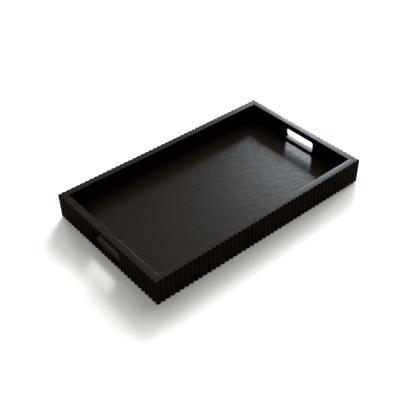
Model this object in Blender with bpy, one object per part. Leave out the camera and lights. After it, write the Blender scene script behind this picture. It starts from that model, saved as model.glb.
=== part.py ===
"""Reeded wooden serving tray: four mitred boards grooved round a floating base panel.

The boards are cut from stock whose outer face is milled into upright half-round reeds. The two long
boards are alike and stand turned half round from each other, and so do the two end boards. Each mitre
is keyed by a loose tenon hidden in the wood, the end boards are pierced by a hand slot, and felt discs
under the long boards keep the lacquer off the table.

Metres, +Z up. X runs along the tray and Y across it, and the front of the tray faces -Y. The origin is
the middle of the footprint, on the surface that the felt stands on.
"""

import math

import bmesh
import bpy
from mathutils import Vector

# Overall sizes, over the crests of the reeds
TRAY_LENGTH = 0.508
TRAY_WIDTH = 0.305
BOARD_HEIGHT = 0.054

# Boards and their reeds
CORE_THICKNESS = 0.0117
REED_DEPTH = 0.0035
REED_PITCH = 0.01025
REED_FACETS = 8

# Where in a reed each kind of board is cut at its left end, seen from outside: 0 is a crest, 0.5 a groove
LONG_BOARD_START_SHARE = 0.465
END_BOARD_START_SHARE = 0.595

# Base panel, held in a groove round the inner faces
PANEL_THICKNESS = 0.0058
PANEL_UNDERSIDE_RISE = 0.0083
PANEL_TONGUE = 0.005

# Hand slots through the end boards, from a little above the base panel to a little below the rim
SLOT_LENGTH = 0.085
SLOT_SILL = 0.0042
SLOT_RIM_INSET = 0.0115
SLOT_CORNER_RADIUS = 0.0045
SLOT_CORNER_FACETS = 6

# Loose tenons that cross the mitres, between the base panel and the rim
TENON_WIDTH = 0.012
TENON_THICKNESS = 0.003
TENON_PANEL_INSET = 0.0045
TENON_RIM_INSET = 0.009
TENON_SETBACK = 0.0045
TENON_ARRIS = 0.0004

# Felt discs under the long boards
FELT_DIAMETER = 0.009
FELT_THICKNESS = 0.0012
FELT_END_INSET = 0.045
FELT_FACETS = 32

# Clearance between neighbouring pieces, and how far a cutter overruns what it cuts
FIT_GAP = 0.0003
CUT_OVERRUN = 0.01

# Sizes that follow from those above
BOARD_THICKNESS = CORE_THICKNESS + REED_DEPTH
INNER_LENGTH = TRAY_LENGTH - 2 * BOARD_THICKNESS
INNER_WIDTH = TRAY_WIDTH - 2 * BOARD_THICKNESS
BOARD_BOTTOM = FELT_THICKNESS + FIT_GAP
RIM_TOP = BOARD_BOTTOM + BOARD_HEIGHT
PANEL_SURFACE = BOARD_BOTTOM + PANEL_UNDERSIDE_RISE + PANEL_THICKNESS
SLOT_BOTTOM = PANEL_SURFACE + SLOT_SILL
SLOT_TOP = RIM_TOP - SLOT_RIM_INSET
TENON_BOTTOM = PANEL_SURFACE + TENON_PANEL_INSET
TENON_TOP = RIM_TOP - TENON_RIM_INSET

# Facets that meet at less than this angle are shaded as one round surface
ROUND_SHADING_ANGLE = math.radians(40)

# Display colours, linear RGB
ESPRESSO_RGB = (0.012, 0.0095, 0.008)
BEECH_RGB = (0.55, 0.36, 0.19)
FELT_RGB = (0.03, 0.029, 0.028)


def clear_scene():
    for old in list(bpy.data.objects):
        bpy.data.objects.remove(old, do_unlink=True)


def give_material(piece, rgb, roughness):
    """A material of the piece's own, so that each node keeps its own look."""
    material = bpy.data.materials.new(piece.name + "_material")
    material.use_nodes = True
    shader = material.node_tree.nodes["Principled BSDF"]
    shader.inputs["Base Color"].default_value = (*rgb, 1)
    shader.inputs["Roughness"].default_value = roughness
    shader.inputs["Metallic"].default_value = 0
    piece.data.materials.append(material)


def add_object(name, mesh_builder):
    """A new object from a bmesh, with its faces turned outward."""
    bmesh.ops.recalc_face_normals(mesh_builder, faces=mesh_builder.faces)
    mesh = bpy.data.meshes.new(name)
    mesh_builder.to_mesh(mesh)
    mesh_builder.free()
    piece = bpy.data.objects.new(name, mesh)
    bpy.context.collection.objects.link(piece)
    return piece


def add_prism(name, outline, direction):
    """The closed outline, a list of vectors, swept along a direction vector."""
    builder = bmesh.new()
    face = builder.faces.new([builder.verts.new(point) for point in outline])
    swept = bmesh.ops.extrude_face_region(builder, geom=[face])
    moved = [item for item in swept["geom"] if isinstance(item, bmesh.types.BMVert)]
    bmesh.ops.translate(builder, verts=moved, vec=direction)
    return add_object(name, builder)


def add_box(name, length, width, height):
    """A box centred on its own origin."""
    builder = bmesh.new()
    bmesh.ops.create_cube(builder, size=1)
    bmesh.ops.scale(builder, vec=(length, width, height), verts=builder.verts)
    return add_object(name, builder)


def make_cutter(piece):
    piece.hide_render = True
    piece.display_type = "WIRE"
    return piece


def shade_round(piece):
    piece.data.shade_smooth()
    piece.data.set_sharp_from_angle(angle=ROUND_SHADING_ANGLE)


def cut(piece, cutter):
    boolean = piece.modifiers.new("cut_by_" + cutter.name, "BOOLEAN")
    boolean.operation = "DIFFERENCE"
    boolean.solver = "EXACT"
    boolean.object = cutter


def reed_arc():
    """One reed's half-round outline from groove to groove, as (offset along the board, depth below the
    crest). It is the arc of a circle whose chord is the pitch and whose rise is the reed's depth."""
    half_pitch = REED_PITCH / 2
    radius = (half_pitch ** 2 + REED_DEPTH ** 2) / (2 * REED_DEPTH)
    reach = math.asin(half_pitch / radius)
    angles = [reach * (2 * step / REED_FACETS - 1) for step in range(REED_FACETS + 1)]
    return [(radius * math.sin(angle), radius * (1 - math.cos(angle))) for angle in angles]


def reeded_face(span, start_share):
    """The reeded outer face of a board over the whole span of the tray, as (place along the board,
    distance out from the inner face), before its ends are mitred."""
    arc = reed_arc()
    face = []
    for reed in range(int(span / REED_PITCH) + 2):
        crest = (reed - start_share) * REED_PITCH - span / 2
        for offset, depth in arc[1:]:
            face.append((crest + offset, BOARD_THICKNESS - depth))
    return face


def beyond_mitre(point, span):
    """How far a point lies past the mitred end face, along the board. It is negative inside the wood."""
    place, out = point
    mitre_place = span / 2 - BOARD_THICKNESS + out - FIT_GAP / math.sqrt(2)
    return abs(place) - mitre_place


def trim_to_mitre(face, span):
    """Drops the points past the mitre from the start of the face and puts one on the mitre itself."""
    first = next(index for index, point in enumerate(face) if beyond_mitre(point, span) < 0)
    outside, inside = Vector(face[first - 1]), Vector(face[first])
    past, short = beyond_mitre(outside, span), beyond_mitre(inside, span)
    on_mitre = outside.lerp(inside, past / (past - short))
    return [tuple(on_mitre)] + face[first:]


def board_outline(span, start_share):
    """The board seen from above, with its inner face on Y = 0 and its reeds towards -Y."""
    face = reeded_face(span, start_share)
    face = trim_to_mitre(face, span)
    face = trim_to_mitre(face[::-1], span)[::-1]
    inner_end = span / 2 - BOARD_THICKNESS - FIT_GAP / math.sqrt(2)
    corners = [(inner_end, 0), (-inner_end, 0)]
    return [Vector((place, -out, 0)) for place, out in face + corners]


def add_board(name, span, start_share, turn, inner_face_distance):
    """A reeded, mitred board. Turned by the given angle, its reeds face outward."""
    outline = board_outline(span, start_share)
    board = add_prism(name, outline, Vector((0, 0, BOARD_HEIGHT)))
    outward = Vector((math.sin(turn), -math.cos(turn), 0))
    board.location = outward * inner_face_distance + Vector((0, 0, BOARD_BOTTOM))
    board.rotation_euler.z = turn
    shade_round(board)
    give_material(board, ESPRESSO_RGB, 0.4)
    return board


def add_long_board(name, turn):
    return add_board(name, TRAY_LENGTH, LONG_BOARD_START_SHARE, turn, INNER_WIDTH / 2)


def add_end_board(name, turn):
    return add_board(name, TRAY_WIDTH, END_BOARD_START_SHARE, turn, INNER_LENGTH / 2)


def add_panel_box(name, growth):
    """The base panel, or with a growth the groove that is cut for it."""
    length = INNER_LENGTH + 2 * (PANEL_TONGUE + growth)
    width = INNER_WIDTH + 2 * (PANEL_TONGUE + growth)
    panel = add_box(name, length, width, PANEL_THICKNESS + 2 * growth)
    panel.location.z = PANEL_SURFACE - PANEL_THICKNESS / 2
    return panel


def add_base_panel():
    panel = add_panel_box("base_panel", 0)
    give_material(panel, ESPRESSO_RGB, 0.25)
    return panel


def slot_outline():
    """The hand slot's rounded rectangle, seen along X and centred on its own origin."""
    points = []
    arc_centre_y = SLOT_LENGTH / 2 - SLOT_CORNER_RADIUS
    arc_centre_z = (SLOT_TOP - SLOT_BOTTOM) / 2 - SLOT_CORNER_RADIUS
    for quarter, (side_y, side_z) in enumerate([(1, 1), (-1, 1), (-1, -1), (1, -1)]):
        for step in range(SLOT_CORNER_FACETS + 1):
            angle = math.pi / 2 * (quarter + step / SLOT_CORNER_FACETS)
            y = side_y * arc_centre_y + SLOT_CORNER_RADIUS * math.cos(angle)
            z = side_z * arc_centre_z + SLOT_CORNER_RADIUS * math.sin(angle)
            points.append(Vector((0, y, z)))
    return points


def add_slot_cutter():
    """One bar along the tray's length, which pierces both end boards in line."""
    reach = TRAY_LENGTH / 2 + CUT_OVERRUN
    cutter = add_prism("hand_slot_cutter", slot_outline(), Vector((2 * reach, 0, 0)))
    cutter.location = (-reach, 0, (SLOT_TOP + SLOT_BOTTOM) / 2)
    return make_cutter(cutter)


def place_on_mitre(piece, side_x, side_y):
    """Stands a tenon, or its mortise, square across the mitre, a little out from the inner corner."""
    out = TENON_SETBACK / math.sqrt(2)
    x = side_x * (INNER_LENGTH / 2 + out)
    y = side_y * (INNER_WIDTH / 2 + out)
    piece.location = (x, y, (TENON_TOP + TENON_BOTTOM) / 2)
    piece.rotation_euler.z = math.atan2(side_x, -side_y)


def add_tenon_box(name, growth):
    """A loose tenon, or with a growth the mortise that is cut for it."""
    height = TENON_TOP - TENON_BOTTOM
    return add_box(name, TENON_WIDTH + 2 * growth, TENON_THICKNESS + 2 * growth, height + 2 * growth)


def add_tenon(name, side_x, side_y):
    tenon = add_tenon_box(name, 0)
    place_on_mitre(tenon, side_x, side_y)
    arris = tenon.modifiers.new("arris", "BEVEL")
    arris.width = TENON_ARRIS
    arris.segments = 1
    give_material(tenon, BEECH_RGB, 0.7)
    return tenon


def add_mortise_cutter(name, side_x, side_y):
    cutter = add_tenon_box(name, FIT_GAP)
    place_on_mitre(cutter, side_x, side_y)
    return make_cutter(cutter)


def add_felt_disc(name, side_x, side_y):
    """A disc under the middle of a long board's core, set in from the end."""
    builder = bmesh.new()
    bmesh.ops.create_cone(
        builder, cap_ends=True, segments=FELT_FACETS, radius1=FELT_DIAMETER / 2,
        radius2=FELT_DIAMETER / 2, depth=FELT_THICKNESS)
    disc = add_object(name, builder)
    disc.location.x = side_x * (TRAY_LENGTH / 2 - FELT_END_INSET)
    disc.location.y = side_y * (INNER_WIDTH + CORE_THICKNESS) / 2
    disc.location.z = FELT_THICKNESS / 2
    shade_round(disc)
    give_material(disc, FELT_RGB, 1)
    return disc


CORNERS = {
    "front_left": (-1, -1),
    "front_right": (1, -1),
    "back_left": (-1, 1),
    "back_right": (1, 1),
}

clear_scene()

# The boards stand round the tray, each turned so that its reeds face outward
long_boards = {"front": add_long_board("front_wall", 0), "back": add_long_board("back_wall", math.pi)}
end_boards = {
    "left": add_end_board("left_end_wall", -math.pi / 2),
    "right": add_end_board("right_end_wall", math.pi / 2),
}
add_base_panel()

groove_cutter = make_cutter(add_panel_box("panel_groove_cutter", FIT_GAP))
for board in (*long_boards.values(), *end_boards.values()):
    cut(board, groove_cutter)

slot_cutter = add_slot_cutter()
for board in end_boards.values():
    cut(board, slot_cutter)

for corner, (side_x, side_y) in CORNERS.items():
    add_tenon("corner_tenon_" + corner, side_x, side_y)
    mortise_cutter = add_mortise_cutter("mortise_cutter_" + corner, side_x, side_y)
    long_side, end_side = corner.split("_")
    cut(long_boards[long_side], mortise_cutter)
    cut(end_boards[end_side], mortise_cutter)
    add_felt_disc("felt_disc_" + corner, side_x, side_y)
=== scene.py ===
"""Reeded wooden serving tray, stained espresso and lacquered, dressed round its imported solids.

The pieces follow in the order in which such a tray is put together: the base panel, the two long boards
and the two end boards that close round it, the loose tenons in the mitres and the felt underneath.

Metres, +Z up. X runs along the tray, its front faces -Y, and the felt stands on Z = 0.
"""

import math

import bmesh
import bpy
import numpy as np
from mathutils import Matrix, Vector


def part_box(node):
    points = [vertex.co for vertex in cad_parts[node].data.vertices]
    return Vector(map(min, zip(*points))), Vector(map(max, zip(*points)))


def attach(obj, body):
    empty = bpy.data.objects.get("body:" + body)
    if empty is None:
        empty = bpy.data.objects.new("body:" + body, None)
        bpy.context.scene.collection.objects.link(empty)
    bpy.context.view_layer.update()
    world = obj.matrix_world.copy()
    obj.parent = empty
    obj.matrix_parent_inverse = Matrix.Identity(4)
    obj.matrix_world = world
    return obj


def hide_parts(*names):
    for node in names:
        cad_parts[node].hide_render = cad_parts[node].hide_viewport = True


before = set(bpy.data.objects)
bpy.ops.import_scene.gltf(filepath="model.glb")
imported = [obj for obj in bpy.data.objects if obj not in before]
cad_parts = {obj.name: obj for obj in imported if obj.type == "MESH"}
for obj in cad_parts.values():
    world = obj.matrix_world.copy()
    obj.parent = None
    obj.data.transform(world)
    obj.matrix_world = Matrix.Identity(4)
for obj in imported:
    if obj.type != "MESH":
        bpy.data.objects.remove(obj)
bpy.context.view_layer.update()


# Base panel: 5.8 mm plywood faced with ash veneer, whose grain runs along the tray. It is stained
# espresso and sprayed with satin lacquer, which mirrors the walls softly, and it floats in a groove
# round the boards. Its edges are eased so that it slides home.

PANEL_EASE = 0.0005
PANEL_BOW = 0.00012
PANEL_STATIONS = 121
PANEL_TOP_POINTS = 73
PANEL_UNDER_POINTS = 25
EASE_STEPS = 4

# Facets that meet at more than this angle are shaded apart: those of reeds and eased edges meet at less
SHARP_ANGLE = math.radians(32)


def quarter_turn(radius, steps):
    """A convex quarter round as two runs of distances. Those along the face that it leaves fall from the
    radius to nothing, and those along the face that it meets rise from nothing to the radius."""
    angle = np.linspace(0, math.pi / 2, steps + 1)
    return radius * (1 - np.sin(angle)), radius * (1 - np.cos(angle))


def skin_rings(name, rings):
    """A closed skin over rings of points, an array of (ring, place on the ring, xyz). Each ring is joined
    to the next by four-sided faces, and the first and the last are closed by one face each."""
    ring_count, point_count = rings.shape[:2]
    start = np.arange(ring_count - 1)[:, None] * point_count
    here = np.arange(point_count)[None, :]
    after = (here + 1) % point_count
    next_ring = start + point_count
    quads = np.stack([start + here, start + after, next_ring + after, next_ring + here], -1)
    first_cap = np.arange(point_count)[::-1]
    last_cap = np.arange(point_count) + (ring_count - 1) * point_count
    faces = quads.reshape(-1, 4).tolist() + [first_cap.tolist(), last_cap.tolist()]
    mesh = bpy.data.meshes.new(name)
    mesh.from_pydata(rings.reshape(-1, 3).tolist(), [], faces)
    builder = bmesh.new()
    builder.from_mesh(mesh)
    bmesh.ops.recalc_face_normals(builder, faces=builder.faces)
    builder.to_mesh(mesh)
    builder.free()
    piece = bpy.data.objects.new(name, mesh)
    bpy.context.scene.collection.objects.link(piece)
    return piece


def finish_piece(piece, material, slot, *nodes):
    """Gives a finished mesh its shading and material, hangs it under the root body, and hides the solids
    that it stands for.
    """
    piece.data.shade_smooth()
    piece.data.set_sharp_from_angle(angle=SHARP_ANGLE)
    piece.data.materials.clear()
    piece.data.materials.append(material)
    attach(piece, "root")
    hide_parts(*nodes)


def slab_rings(low, high, ease, bow):
    """An eased slab as rings across it, carried along X. A ring is a rectangle with quarter rounds at its
    four corners, drawn in by the same quarter round towards both ends of the slab. The upper face bows up
    in the middle by bow * cos * cos of the place along and across."""
    centre, half = (low + high) / 2, (high - low) / 2
    in_side, in_face = quarter_turn(ease, EASE_STEPS)
    top = np.linspace(-1, 1, PANEL_TOP_POINTS)
    under = np.linspace(1, -1, PANEL_UNDER_POINTS)
    flat_y = half[1] - ease
    ring_y = np.concatenate([top * flat_y, half[1] - in_side[1:],
                             under * flat_y, -half[1] + in_side[::-1][:-1]])
    ring_z = np.concatenate([np.full(len(top), half[2]), half[2] - in_face[1:],
                             np.full(len(under), -half[2]), in_face[::-1][:-1] - half[2]])
    is_top = np.concatenate([np.ones(len(top)), np.zeros(len(ring_y) - len(top))])
    flat_x = half[0] - ease
    along = np.concatenate([-half[0] + in_face[:-1], np.linspace(-1, 1, PANEL_STATIONS) * flat_x,
                            half[0] - in_face[:-1][::-1]])
    drawn_in = np.concatenate([in_side[:-1], np.zeros(PANEL_STATIONS), in_side[:-1][::-1]])
    x = np.repeat(along[:, None], len(ring_y), 1)
    y = ring_y[None, :] - np.sign(ring_y)[None, :] * np.minimum(drawn_in[:, None], np.abs(ring_y)[None, :])
    z = ring_z[None, :] - np.sign(ring_z)[None, :] * drawn_in[:, None]
    swell = np.cos(x / half[0] * math.pi / 2) * np.cos(y / half[1] * math.pi / 2)
    z = z + bow * np.clip(swell, 0, 1) * is_top[None, :]
    return np.stack([x, y, z], -1) + centre


def linear(colour):
    """An sRGB colour, written #rrggbb, as linear red, green, blue and alpha."""
    share = np.array([int(colour[at:at + 2], 16) for at in (1, 3, 5)]) / 255
    rgb = np.where(share <= 0.04045, share / 12.92, ((share + 0.055) / 1.055) ** 2.4)
    return (*rgb.tolist(), 1)


def add_node(tree, kind, inputs, **settings):
    """Adds a node, sets its own settings, and gives each named input a value or another node's output."""
    node = tree.nodes.new(kind)
    for setting, value in settings.items():
        setattr(node, setting, value)
    for name, value in inputs.items():
        if isinstance(value, bpy.types.NodeSocket):
            tree.links.new(value, node.inputs[name])
        else:
            node.inputs[name].default_value = value
    return node


def new_material(name):
    """An empty material, with its node tree and its output node."""
    material = bpy.data.materials.new(name)
    material.use_nodes = True
    tree = material.node_tree
    tree.nodes.clear()
    return material, tree, tree.nodes.new("ShaderNodeOutputMaterial")


# How long and how wide the figure of the wood is. Real ash pores are 0.2 mm across: here they are drawn
# 0.9 mm wide, so that some of them still show in a small picture. The ripple is the lacquer's own, twice
# as long along the grain as across it.
STREAK_LENGTH = 0.16
STREAK_WIDTH = 0.0045
PORE_LENGTH = 0.026
PORE_WIDTH = 0.0009
RIPPLE_LENGTH = 0.018
RIPPLE_WIDTH = 0.009

# Where along the streaks' noise the three shades lie, and how far the streaks change the roughness
SHADE_STOPS = (0.36, 0.5, 0.66)
ROUGHNESS_SWING = 0.01
LACQUER_IOR = 1.5


def espresso_wood(name, grain_axis, shades, roughness, specular, pore_depth, ripple_depth):
    """Stained and sprayed wood. Long soft streaks along the grain carry the colour from dark to light,
    short narrow pores sink into it, and the spray leaves a faint ripple over both. The depths are those
    of the pores and of the ripple, in metres."""
    material, tree, output = new_material(name)
    place = add_node(tree, "ShaderNodeTexCoord", {}).outputs["Object"]

    def figure(length, width):
        scale = [1 / width] * 3
        scale[grain_axis] = 1 / length
        return add_node(tree, "ShaderNodeMapping", {"Vector": place, "Scale": scale}).outputs["Vector"]

    streaks = add_node(tree, "ShaderNodeTexNoise", {
        "Vector": figure(STREAK_LENGTH, STREAK_WIDTH), "Scale": 1, "Detail": 5, "Roughness": 0.62,
        "Distortion": 0.35}).outputs["Fac"]
    pores = add_node(tree, "ShaderNodeTexNoise", {
        "Vector": figure(PORE_LENGTH, PORE_WIDTH), "Scale": 1, "Detail": 3,
        "Roughness": 0.55}).outputs["Fac"]
    open_pores = add_node(tree, "ShaderNodeMapRange", {
        "Value": pores, "From Min": 0.36, "From Max": 0.52, "To Min": 0, "To Max": 1}).outputs["Result"]
    ripple = add_node(tree, "ShaderNodeTexNoise", {
        "Vector": figure(RIPPLE_LENGTH, RIPPLE_WIDTH), "Scale": 1, "Detail": 1.5,
        "Roughness": 0.5}).outputs["Fac"]

    ramp = add_node(tree, "ShaderNodeValToRGB", {"Fac": streaks})
    for stop, (at, shade) in enumerate(zip(SHADE_STOPS, shades)):
        if stop > 1:
            ramp.color_ramp.elements.new(at)
        ramp.color_ramp.elements[stop].position = at
        ramp.color_ramp.elements[stop].color = linear(shade)
    colour = add_node(tree, "ShaderNodeMix", {
        "Factor": open_pores, 6: linear(shades[0]), 7: ramp.outputs["Color"]}, data_type="RGBA").outputs[2]
    dull = add_node(tree, "ShaderNodeMapRange", {
        "Value": streaks, "From Min": 0.3, "From Max": 0.7,
        "To Min": roughness - ROUGHNESS_SWING, "To Max": roughness + ROUGHNESS_SWING}).outputs["Result"]
    sunk = add_node(tree, "ShaderNodeBump", {"Height": open_pores, "Strength": 1, "Distance": pore_depth})
    sprayed = add_node(tree, "ShaderNodeBump", {
        "Height": ripple, "Strength": 1, "Distance": ripple_depth, "Normal": sunk.outputs["Normal"]})
    shader = add_node(tree, "ShaderNodeBsdfPrincipled", {
        "Base Color": colour, "Roughness": dull, "Normal": sprayed.outputs["Normal"], "IOR": LACQUER_IOR,
        "Specular IOR Level": specular})
    tree.links.new(shader.outputs["BSDF"], output.inputs["Surface"])
    return material


# Satin lacquer over stained veneer: near black, a little brown where it is lit, with a soft wide gloss
espresso_veneer = espresso_wood(
    "espresso_lacquered_ash_veneer", 0, ("#1c140d", "#1d150d", "#1f160e"),
    roughness=0.29, specular=0.5, pore_depth=0.000003, ripple_depth=0.0003)

panel_low, panel_high = (np.array(corner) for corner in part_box("base_panel"))
base_panel = skin_rings("base_panel_veneered", slab_rings(panel_low, panel_high, PANEL_EASE, PANEL_BOW))
finish_piece(base_panel, espresso_veneer, "espresso_panel", "base_panel")


# Long boards: solid ash, 54 mm high, milled outside into upright rounded reeds and grooved inside for
# the base panel. The grain runs along the board. Their ends are mitred, the arrises are eased with fine
# paper, and one stain goes over all of it.

TRAY_LENGTH = 0.508
TRAY_WIDTH = 0.305
BOARD_BOTTOM = 0.0015
BOARD_HEIGHT = 0.054
BOARD_THICKNESS = 0.0152
REED_PITCH = 0.01025
REED_DEPTH = 0.0035
REED_STEPS = 20
LONG_BOARD_START_SHARE = 0.465
# The mitres are glued tight: the two faces keep only this much each to the mitre's plane
MITRE_SETBACK = 0.00002
CORNER_ROUND = 0.0009
INNER_ARRIS = 0.0005
RIM_ARRIS = 0.0006
RIM_CROWN = 0.00014
RIM_STATIONS = 9
FOOT_ARRIS = 0.0006
ARRIS_STEPS = 6
FOOT_STEPS = 3
PANEL_PLAY = 0.0003

INNER_HALF_LENGTH = TRAY_LENGTH / 2 - BOARD_THICKNESS
INNER_HALF_WIDTH = TRAY_WIDTH / 2 - BOARD_THICKNESS
GROOVE_DEPTH = panel_high[0] - INNER_HALF_LENGTH + PANEL_PLAY
GROOVE_FOOT = panel_low[2] - BOARD_BOTTOM - PANEL_PLAY
GROOVE_HEAD = panel_high[2] - BOARD_BOTTOM + PANEL_PLAY


def reeded_face(span, start_share):
    """The reeded face seen from above, as place along the board and distance out from its inner face. A
    reed is the arc of a circle whose chord is the pitch and whose rise is the depth, stepped by equal
    angles. Start share says where in a reed the board is cut: 0 is a crest, 0.5 a groove. At both ends
    the face is turned in by a small quarter circle and then ends on the mitre."""
    radius = ((REED_PITCH / 2) ** 2 + REED_DEPTH ** 2) / (2 * REED_DEPTH)
    reach = math.asin(REED_PITCH / 2 / radius)
    angle = np.linspace(-reach, reach, REED_STEPS + 1)[1:]
    crest = (np.arange(int(span / REED_PITCH) + 2) - start_share) * REED_PITCH - span / 2
    along = (crest[:, None] + radius * np.sin(angle)).ravel()
    out = np.tile(BOARD_THICKNESS - radius * (1 - np.cos(angle)), len(crest))
    past_round = np.clip(np.abs(along) - (span / 2 - CORNER_ROUND), 0, CORNER_ROUND)
    out = np.minimum(out, BOARD_THICKNESS - CORNER_ROUND + np.sqrt(CORNER_ROUND ** 2 - past_round ** 2))
    past_mitre = np.abs(along) - (span / 2 - BOARD_THICKNESS + out - MITRE_SETBACK)
    wood = np.flatnonzero(past_mitre < 0)
    first, last = wood[0], wood[-1]
    ends = []
    for inside, outside in ((first, first - 1), (last, last + 1)):
        share = past_mitre[inside] / (past_mitre[inside] - past_mitre[outside])
        ends.append((along[inside] + share * (along[outside] - along[inside]),
                     out[inside] + share * (out[outside] - out[inside])))
    keep = slice(first, last + 1)
    return (np.concatenate([[ends[0][0]], along[keep], [ends[1][0]]]),
            np.concatenate([[ends[0][1]], out[keep], [ends[1][1]]]))


def board_rings(span, start_share):
    """A board as rings round its section, carried along it, in the board's own directions: along it, out
    from its inner face, and up from its foot. A ring climbs the inner face past the panel's groove, turns
    over the rim, and comes down the reeds. Its inner points lie at fixed distances out and run evenly from
    mitre to mitre. Its outer ones follow the reeded face, so the rim's outer edge is scalloped. The rim is
    crowned: it falls towards both edges by crown * (2 * out / thickness - 1) ** 2."""
    face_along, face_out = reeded_face(span, start_share)
    share = (face_along - face_along[0]) / (face_along[-1] - face_along[0])
    near, far = quarter_turn(FOOT_ARRIS, FOOT_STEPS)
    inner_near, inner_far = quarter_turn(INNER_ARRIS, ARRIS_STEPS)
    rim_near, rim_far = quarter_turn(RIM_ARRIS, ARRIS_STEPS)
    inner_out = np.concatenate([near, [0, GROOVE_DEPTH, GROOVE_DEPTH, 0], inner_far])
    inner_up = np.concatenate([far, [GROOVE_FOOT, GROOVE_FOOT, GROOVE_HEAD, GROOVE_HEAD],
                               BOARD_HEIGHT - inner_near])
    back_from_face = np.concatenate([rim_near, far])
    outer_up = np.concatenate([BOARD_HEIGHT - rim_far, near])
    inner_half = span / 2 - BOARD_THICKNESS - MITRE_SETBACK
    turn = 2 * share - 1
    inner = np.stack(np.broadcast_arrays(
        turn[:, None] * (inner_half + inner_out)[None, :], inner_out[None, :], inner_up[None, :]), -1)
    outer = np.stack(np.broadcast_arrays(
        face_along[:, None] - turn[:, None] * back_from_face[None, :],
        face_out[:, None] - back_from_face[None, :], outer_up[None, :]), -1)
    across = np.linspace(0, 1, RIM_STATIONS + 2)[1:-1][None, :, None]
    rim = inner[:, -1:] * (1 - across) + outer[:, :1] * across
    rings = np.concatenate([inner, rim, outer], 1)
    fall = RIM_CROWN * (2 * rings[..., 1] / BOARD_THICKNESS - 1) ** 2
    rings[..., 2] -= np.where(rings[..., 2] > BOARD_HEIGHT - 2 * INNER_ARRIS, fall, 0)
    return rings


def stand_round_tray(points, turn, inner_half_distance):
    """Board directions to tray directions: the inner face goes to its distance from the middle on the
    front side, all of it is turned about Z, and the foot is lifted by the felt's height."""
    along, out, up = points[..., 0], points[..., 1], points[..., 2]
    forward = -(out + inner_half_distance)
    x = along * math.cos(turn) - forward * math.sin(turn)
    y = along * math.sin(turn) + forward * math.cos(turn)
    return np.stack([x, y, up + BOARD_BOTTOM], -1)


# The mortises for the loose tenons, cut square across each mitre. A tenon's own solid gives its place.
MORTISE_PLAY = 0.0003
TENON_WIDTH = 0.012
TENON_THICKNESS = 0.003
CORNERS = {"front_left": (-1, -1), "front_right": (1, -1), "back_left": (-1, 1), "back_right": (1, 1)}


def mortise_cutter(corner):
    """A box a little larger than the corner's tenon, turned to lie across the mitre."""
    low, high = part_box("corner_tenon_" + corner)
    side_x, side_y = CORNERS[corner]
    signs = np.array([[-1, -1], [-1, 1], [1, 1], [1, -1]])
    half = np.array([TENON_WIDTH, TENON_THICKNESS, high[2] - low[2]]) / 2 + MORTISE_PLAY
    ring = np.stack([signs[:, 0] * half[0], signs[:, 1] * half[1]], -1)
    angle = math.atan2(side_x, -side_y)
    turned = np.stack([ring[:, 0] * math.cos(angle) - ring[:, 1] * math.sin(angle),
                       ring[:, 0] * math.sin(angle) + ring[:, 1] * math.cos(angle)], -1)
    middle = (np.array(low) + np.array(high)) / 2
    rings = [np.column_stack([turned + middle[:2], np.full(len(turned), middle[2] + up)])
             for up in (-half[2], half[2])]
    return skin_rings("mortise_cutter", np.array(rings))


def cut_away(piece, cutters):
    """Takes each cutter's volume out of the piece for good, and removes the cutters."""
    for cutter in cutters:
        cut = piece.modifiers.new("cut", "BOOLEAN")
        cut.operation = "DIFFERENCE"
        cut.solver = "EXACT"
        cut.object = cutter
    bpy.context.view_layer.update()
    finished = bpy.data.meshes.new_from_object(piece.evaluated_get(bpy.context.evaluated_depsgraph_get()))
    piece.modifiers.clear()
    piece.data = finished
    for cutter in cutters:
        bpy.data.objects.remove(cutter)


# Two finishes on stained ash. The faces that stand upright, the reeds above all, can't be rubbed down
# between coats and stay dead matt. What faces up, the rim and the slots' sills, is rubbed and waxed, and
# takes a cool satin gloss. The two sets of shades are lit and shaded copies of one stain. The upright
# faces'
# shades are painted shade: they are darker, which makes those faces near black. The up-facing faces' shades
# are painted light: they are lighter. A face counts as facing up where its normal rises by more than the
# slope given here.
BOARD_SHADES_PAINTED_SHADE = ("#110a05", "#19100a", "#20150c")
RIM_SHADES_PAINTED_LIGHT = ("#1a150f", "#201a14", "#271f17")
RUBBED_AND_PAINTED_LIGHT_SLOPE = 0.87


def board_finishes(name, grain_axis):
    """The matt finish in darker shades, which are painted shade, and the rubbed one in lighter shades,
    which are painted light, with the grain along the board.
    """
    matt_painted_shade = espresso_wood("espresso_matt_painted_shade_ash_" + name, grain_axis, BOARD_SHADES_PAINTED_SHADE,
                         roughness=0.5, specular=0.01, pore_depth=0.00003, ripple_depth=0.00001)
    rubbed_painted_light = espresso_wood("espresso_rubbed_painted_light_ash_" + name, grain_axis, RIM_SHADES_PAINTED_LIGHT,
                           roughness=0.3, specular=0.42, pore_depth=0.000003, ripple_depth=0.0001)
    return matt_painted_shade, rubbed_painted_light


def finish_board(board, finishes, node):
    """The matt finish, with its painted shade, goes over the board, and the rubbed one, with its painted
    light, over every face that looks up.
    """
    finish_piece(board, finishes[0], "espresso_board", node)
    board.data.materials.append(finishes[1])
    normals = np.empty(3 * len(board.data.polygons))
    board.data.polygons.foreach_get("normal", normals)
    # The faces that look up take the lighter shades: painted light on the tops
    looks_up = normals.reshape(-1, 3)[:, 2] > RUBBED_AND_PAINTED_LIGHT_SLOPE
    board.data.polygons.foreach_set("material_index", looks_up.astype(np.int32))


long_board_finishes = board_finishes("long_boards", 0)

for name, turn in {"front": 0, "back": math.pi}.items():
    rings = board_rings(TRAY_LENGTH, LONG_BOARD_START_SHARE)
    board = skin_rings(name + "_board_reeded", stand_round_tray(rings, turn, INNER_HALF_WIDTH))
    cut_away(board, [mortise_cutter(corner) for corner in CORNERS if corner.startswith(name)])
    finish_board(board, long_board_finishes, name + "_wall")


# End boards: the same reeded stock, mitred to the tray's width and pierced by a hand slot. The slot is
# routed through, and its outer mouth is rounded over from the reeds' crests, more at the slot's ends than
# at its head and foot. Its inner edge is only eased.

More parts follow.
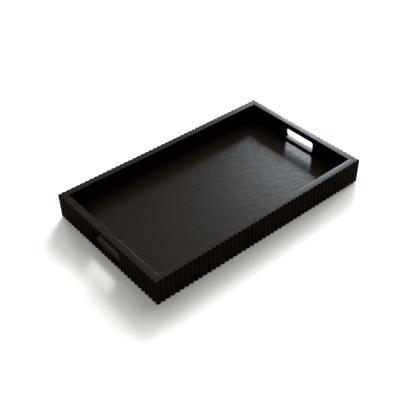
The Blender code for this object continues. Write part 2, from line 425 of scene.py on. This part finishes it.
END_BOARD_START_SHARE = 0.595
SLOT_HALF_LENGTH = 0.041
SLOT_FOOT = 0.0183
SLOT_HEAD = 0.0425
SLOT_CORNER_RADIUS = 0.0045
SLOT_CORNER_STEPS = 8
SLOT_EASE = 0.0006
SLOT_MOUTH_ROUND = 0.0065
SLOT_MOUTH_STEPS = 12
# How much of the mouth's round the head and the foot get
SLOT_HEAD_SHARE = 0.4
SLOT_FOOT_SHARE = 0.5
SLOT_POINT_SPACING = 0.0006
CUTTER_OVERRUN = 0.002


def slot_outline(growth):
    """The slot's rounded rectangle as place along the board and height above its foot. It is grown at its
    ends, and by only a share of that at its head and its foot."""
    radius = SLOT_CORNER_RADIUS + growth
    straight_along = SLOT_HALF_LENGTH - SLOT_CORNER_RADIUS
    straight_up = (SLOT_HEAD - SLOT_FOOT) / 2 - SLOT_CORNER_RADIUS
    sides = [(1, 1), (-1, 1), (-1, -1), (1, -1)]
    runs = [straight_along, straight_up, straight_along, straight_up]
    along, up = [], []
    for quarter, ((side_along, side_up), run) in enumerate(zip(sides, runs)):
        angle = math.pi / 2 * (quarter + np.linspace(0, 1, SLOT_CORNER_STEPS + 1))
        along.append(side_along * straight_along + radius * np.cos(angle))
        up.append(side_up * straight_up + radius * np.sin(angle))
        next_along, next_up = sides[(quarter + 1) % 4]
        share = np.linspace(0, 1, max(3, round(2 * run / SLOT_POINT_SPACING)))[1:-1]
        end_along, end_up = along[-1][-1], up[-1][-1]
        start_angle = math.pi / 2 * (quarter + 1)
        to_along = next_along * straight_along + radius * math.cos(start_angle)
        to_up = next_up * straight_up + radius * math.sin(start_angle)
        along.append(end_along + share * (to_along - end_along))
        up.append(end_up + share * (to_up - end_up))
    half_height = (SLOT_HEAD - SLOT_FOOT) / 2
    up = np.concatenate(up)
    growth_up = growth * np.where(up > 0, SLOT_HEAD_SHARE, SLOT_FOOT_SHARE)
    up = up * (half_height + growth_up) / (half_height + growth)
    return np.concatenate(along), up + (SLOT_HEAD + SLOT_FOOT) / 2


def slot_cutter(turn):
    """The slot's outline carried out through the board. It flares by a small quarter round at the inner
    face and by a large one at the reeds' crests, so the grooves between the reeds keep most of their
    edge."""
    ease_grown, ease_deep = quarter_turn(SLOT_EASE, ARRIS_STEPS)
    mouth_grown, mouth_deep = quarter_turn(SLOT_MOUTH_ROUND, SLOT_MOUTH_STEPS)
    stations = [(SLOT_EASE, -CUTTER_OVERRUN), *zip(ease_grown, ease_deep),
                *zip(mouth_grown[::-1], BOARD_THICKNESS - mouth_deep[::-1]),
                (SLOT_MOUTH_ROUND, BOARD_THICKNESS + CUTTER_OVERRUN)]
    rings = []
    for growth, out in stations:
        along, up = slot_outline(growth)
        rings.append(np.stack([along, np.full_like(along, out), up], -1))
    return skin_rings("slot_cutter", stand_round_tray(np.array(rings), turn, INNER_HALF_LENGTH))


end_board_finishes = board_finishes("end_boards", 1)

for name, turn in {"left": -math.pi / 2, "right": math.pi / 2}.items():
    rings = board_rings(TRAY_WIDTH, END_BOARD_START_SHARE)
    board = skin_rings(name + "_end_board_reeded", stand_round_tray(rings, turn, INNER_HALF_LENGTH))
    cutters = [mortise_cutter(corner) for corner in CORNERS if corner.endswith(name)]
    cut_away(board, [*cutters, slot_cutter(turn)])
    finish_board(board, end_board_finishes, name + "_end_wall")


# Loose tenons: slips of bare beech glued across the mitres, hidden in the wood. Their solids are right
# as they are, so they keep them.

FLECK_WIDTH = 0.0012
FLECK_LENGTH = 0.02

# Beech: pale pinkish brown, with short dark flecks along the grain, which stands upright in a tenon
tenon_beech, tree, output = new_material("beech_bare_planed")
place = add_node(tree, "ShaderNodeTexCoord", {}).outputs["Object"]
grain = add_node(tree, "ShaderNodeMapping", {
    "Vector": place, "Scale": (1 / FLECK_WIDTH, 1 / FLECK_WIDTH, 1 / FLECK_LENGTH)})
flecks = add_node(tree, "ShaderNodeTexNoise", {"Vector": grain.outputs["Vector"], "Scale": 1, "Detail": 4})
ramp = add_node(tree, "ShaderNodeValToRGB", {"Fac": flecks.outputs["Fac"]})
ramp.color_ramp.elements[0].position = 0.35
ramp.color_ramp.elements[0].color = linear("#a9794f")
ramp.color_ramp.elements[1].position = 0.62
ramp.color_ramp.elements[1].color = linear("#d2a679")
planed = add_node(tree, "ShaderNodeBump", {
    "Height": flecks.outputs["Fac"], "Strength": 1, "Distance": 0.00005})
bare = add_node(tree, "ShaderNodeBsdfPrincipled", {
    "Base Color": ramp.outputs["Color"], "Roughness": 0.7, "IOR": 1.5, "Normal": planed.outputs["Normal"]})
tree.links.new(bare.outputs["BSDF"], output.inputs["Surface"])

for corner in CORNERS:
    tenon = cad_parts["corner_tenon_" + corner]
    tenon.data.materials.clear()
    tenon.data.materials.append(tenon_beech)


# Felt discs: punched from charcoal wool felt and glued under the long boards. The punch leaves a soft
# edge all round them.

FELT_EDGE = 0.00035
FELT_FIBRE = 0.00025
FELT_ROUND_POINTS = 64
FELT_EDGE_STEPS = 5
FELT_RINGS_IN = 7
FELT_HUB_SHARE = 0.02


def felt_rings(low, high):
    """A flat disc as rings from the middle of its under side, out, up round its soft edge and back to the
    middle of its upper side. The edge is two quarter rounds."""
    centre, half = (low + high) / 2, (high - low) / 2
    angle = np.linspace(0, math.pi / 2, FELT_EDGE_STEPS + 1)
    inward = np.linspace(FELT_HUB_SHARE, 1, FELT_RINGS_IN) * (half[0] - FELT_EDGE)
    radius = np.concatenate([inward[:-1], half[0] - FELT_EDGE * (1 - np.sin(angle)),
                             half[0] - FELT_EDGE * (1 - np.cos(angle)), inward[:-1][::-1]])
    up = np.concatenate([np.full(FELT_RINGS_IN - 1, -half[2]), -half[2] + FELT_EDGE * (1 - np.cos(angle)),
                         half[2] - FELT_EDGE * (1 - np.sin(angle)), np.full(FELT_RINGS_IN - 1, half[2])])
    around = np.linspace(0, 2 * math.pi, FELT_ROUND_POINTS, endpoint=False)[None, :]
    x = radius[:, None] * np.cos(around)
    y = radius[:, None] * np.sin(around)
    z = np.repeat(up[:, None], FELT_ROUND_POINTS, 1)
    return np.stack([x, y, z], -1) + centre


# Matted fibres 0.03 mm across, drawn 0.25 mm wide so that they show, with paler ones strewn among them
charcoal_felt, tree, output = new_material("wool_felt_charcoal")
place = add_node(tree, "ShaderNodeTexCoord", {}).outputs["Object"]
fibres = add_node(tree, "ShaderNodeTexNoise", {
    "Vector": place, "Scale": 1 / FELT_FIBRE, "Detail": 4, "Roughness": 0.7, "Distortion": 1.5})
ramp = add_node(tree, "ShaderNodeValToRGB", {"Fac": fibres.outputs["Fac"]})
ramp.color_ramp.elements[0].position = 0.35
ramp.color_ramp.elements[0].color = linear("#201f1e")
ramp.color_ramp.elements[1].position = 0.68
ramp.color_ramp.elements[1].color = linear("#4c4a47")
matted = add_node(tree, "ShaderNodeBump", {
    "Height": fibres.outputs["Fac"], "Strength": 1, "Distance": 0.0001})
woolly = add_node(tree, "ShaderNodeBsdfPrincipled", {
    "Base Color": ramp.outputs["Color"], "Roughness": 0.95, "Sheen Weight": 0.4, "Sheen Roughness": 0.5,
    "Normal": matted.outputs["Normal"]})
tree.links.new(woolly.outputs["BSDF"], output.inputs["Surface"])

for corner in CORNERS:
    low, high = (np.array(point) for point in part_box("felt_disc_" + corner))
    disc = skin_rings("felt_disc_soft_" + corner, felt_rings(low, high))
    finish_piece(disc, charcoal_felt, "felt", "felt_disc_" + corner)


# Studio: a white paper floor that curves up all round into a low backdrop, with soft light from behind
# and to the right, which throws the shadow towards the camera and leaves its gloss on the rim.

FLOOR_HUB_RADIUS = 0.01
FLOOR_FLAT_RADIUS = 2.4
FLOOR_RADIUS = 4.4
FLOOR_FLAT_RINGS = 6
FLOOR_CURVE_RINGS = 24
FLOOR_ROUND_POINTS = 96
BACKDROP_HEIGHT = 0.35
PULP_SIZE = 0.002
PAPER_LIFT = 0.18
SKY_LIGHT = 0.11

flat_rings = np.linspace(FLOOR_HUB_RADIUS, FLOOR_FLAT_RADIUS, FLOOR_FLAT_RINGS)
curved_rings = np.linspace(FLOOR_FLAT_RADIUS, FLOOR_RADIUS, FLOOR_CURVE_RINGS)
radius = np.concatenate([flat_rings, curved_rings[1:]])
rise = np.clip((radius - FLOOR_FLAT_RADIUS) / (FLOOR_RADIUS - FLOOR_FLAT_RADIUS), 0, 1)
around = np.linspace(0, 2 * math.pi, FLOOR_ROUND_POINTS, endpoint=False)[None, :]
sheet = np.stack(np.broadcast_arrays(
    radius[:, None] * np.cos(around), radius[:, None] * np.sin(around),
    (BACKDROP_HEIGHT * rise ** 2)[:, None]), -1)
count = sheet.shape[1]
start = np.arange(len(radius) - 1)[:, None] * count
here = np.arange(count)[None, :]
after = (here + 1) % count
faces = np.stack([start + here, start + count + here, start + count + after, start + after], -1)
floor_mesh = bpy.data.meshes.new("paper_floor")
hub = list(range(count))
floor_mesh.from_pydata(sheet.reshape(-1, 3).tolist(), [], faces.reshape(-1, 4).tolist() + [hub])
floor_mesh.shade_smooth()
floor = bpy.data.objects.new("paper_floor", floor_mesh)
bpy.context.scene.collection.objects.link(floor)

# White paper: matt, and lifted a little towards a warm white where the camera or a reflection sees it
paper, tree, output = new_material("paper_white_seamless")
place = add_node(tree, "ShaderNodeTexCoord", {}).outputs["Object"]
pulp = add_node(tree, "ShaderNodeTexNoise", {"Vector": place, "Scale": 1 / PULP_SIZE, "Detail": 2})
ramp = add_node(tree, "ShaderNodeValToRGB", {"Fac": pulp.outputs["Fac"]})
ramp.color_ramp.elements[0].color = linear("#f1f1f1")
ramp.color_ramp.elements[1].color = linear("#f4f4f4")
lit = add_node(tree, "ShaderNodeBsdfPrincipled", {
    "Base Color": ramp.outputs["Color"], "Roughness": 1, "Specular IOR Level": 0})
path = add_node(tree, "ShaderNodeLightPath", {})
seen = add_node(tree, "ShaderNodeMath", {
    0: path.outputs["Is Camera Ray"], 1: path.outputs["Is Glossy Ray"]}, operation="MAXIMUM")
seen = add_node(tree, "ShaderNodeMath", {
    0: seen.outputs[0], 1: path.outputs["Is Transmission Ray"]}, operation="MAXIMUM")
lift = add_node(tree, "ShaderNodeMath", {0: seen.outputs[0], 1: PAPER_LIFT}, operation="MULTIPLY")
glow = add_node(tree, "ShaderNodeEmission", {"Color": linear("#fffef2"), "Strength": lift.outputs[0]})
both = add_node(tree, "ShaderNodeAddShader", {0: lit.outputs["BSDF"], 1: glow.outputs["Emission"]})
tree.links.new(both.outputs[0], output.inputs["Surface"])
floor_mesh.materials.append(paper)

world = bpy.data.worlds.new("studio")
bpy.context.scene.world = world
world.use_nodes = True
sky = world.node_tree.nodes["Background"]
sky.inputs["Color"].default_value = linear("#f8f5ee")
# It lights the tray faintly, and shows as a warm white where the camera looks past the paper
path = add_node(world.node_tree, "ShaderNodeLightPath", {})
sky_strength = add_node(world.node_tree, "ShaderNodeMapRange", {
    "Value": path.outputs["Is Camera Ray"], "To Min": SKY_LIGHT, "To Max": 1})
world.node_tree.links.new(sky_strength.outputs["Result"], sky.inputs["Strength"])


def towards(azimuth, elevation):
    """The direction to a point seen from the tray: azimuth turns from +X to +Y, elevation lifts from it."""
    flat = math.cos(math.radians(elevation))
    return Vector((flat * math.cos(math.radians(azimuth)), flat * math.sin(math.radians(azimuth)),
                   math.sin(math.radians(elevation))))


def add_lamp(name, kind, azimuth, elevation, distance, energy, colour, glossy, **settings):
    """A lamp that shines at the tray from that direction and distance. Glossy says whether the lacquer
    mirrors it."""
    data = bpy.data.lights.new(name, kind)
    data.energy = energy
    data.color = linear(colour)[:3]
    for setting, value in settings.items():
        setattr(data, setting, value)
    lamp = bpy.data.objects.new(name, data)
    lamp.location = towards(azimuth, elevation) * distance
    lamp.rotation_euler = towards(azimuth, elevation).to_track_quat("Z", "Y").to_euler()
    lamp.visible_camera = False
    lamp.visible_glossy = glossy
    bpy.context.scene.collection.objects.link(lamp)
    return lamp


# The key throws the shadow, and the halo softens it
add_lamp("key", "SUN", azimuth=36, elevation=31, distance=2.5, energy=2.9, colour="#ffffff", glossy=False,
         angle=math.radians(20))
add_lamp("halo", "AREA", azimuth=40, elevation=50, distance=2.6, energy=74, colour="#ffffff", glossy=False,
         shape="RECTANGLE", size=5.5, size_y=1.8)

# Two low lamps open the shadow where it leaves the front right and the back left corner
for name, azimuth, energy in (("side", 5, 41), ("back_side", 78, 18)):
    add_lamp(name, "AREA", azimuth, elevation=18, distance=2.6, energy=energy, colour="#ffffff",
             glossy=False, shape="RECTANGLE", size=0.5, size_y=0.8)

# A tall cool strip, seen only in the gloss. It stands far off, so every part of the tray mirrors it from
# nearly the same direction.
strip = add_lamp("gloss_strip", "AREA", azimuth=38, elevation=20, distance=8, energy=275,
                 colour="#deeef8", glossy=True, shape="RECTANGLE", size=0.8, size_y=3.1)
strip.visible_diffuse = False


# Camera: a long lens from beyond the front left corner, held a degree off level

CAMERA_AZIMUTH = math.radians(-39.7424)
CAMERA_ELEVATION = math.radians(40.4461)
CAMERA_ROLL = math.radians(1.1277)
CAMERA_DISTANCE = 1.3339
CAMERA_TARGET = Vector((-0.0268, -0.0165, 0.0015))
CAMERA_SENSOR = 36
CAMERA_LENS = 59.14

back = Vector((math.sin(CAMERA_AZIMUTH) * math.cos(CAMERA_ELEVATION),
               -math.cos(CAMERA_AZIMUTH) * math.cos(CAMERA_ELEVATION), math.sin(CAMERA_ELEVATION)))
right = Vector((math.cos(CAMERA_AZIMUTH), math.sin(CAMERA_AZIMUTH), 0))
up = back.cross(right)
level = Matrix((right, up, back)).transposed()
camera_data = bpy.data.cameras.new("camera")
camera_data.sensor_width = CAMERA_SENSOR
camera_data.lens = CAMERA_LENS
camera_data.clip_start = 0.05
camera_data.clip_end = 30
camera = bpy.data.objects.new("camera", camera_data)
camera.matrix_world = Matrix.Translation(CAMERA_TARGET + back * CAMERA_DISTANCE) @ (
    level @ Matrix.Rotation(-CAMERA_ROLL, 3, "Z")).to_4x4()
bpy.context.scene.collection.objects.link(camera)
bpy.context.scene.camera = camera
bpy.context.scene.view_settings.view_transform = "Standard"
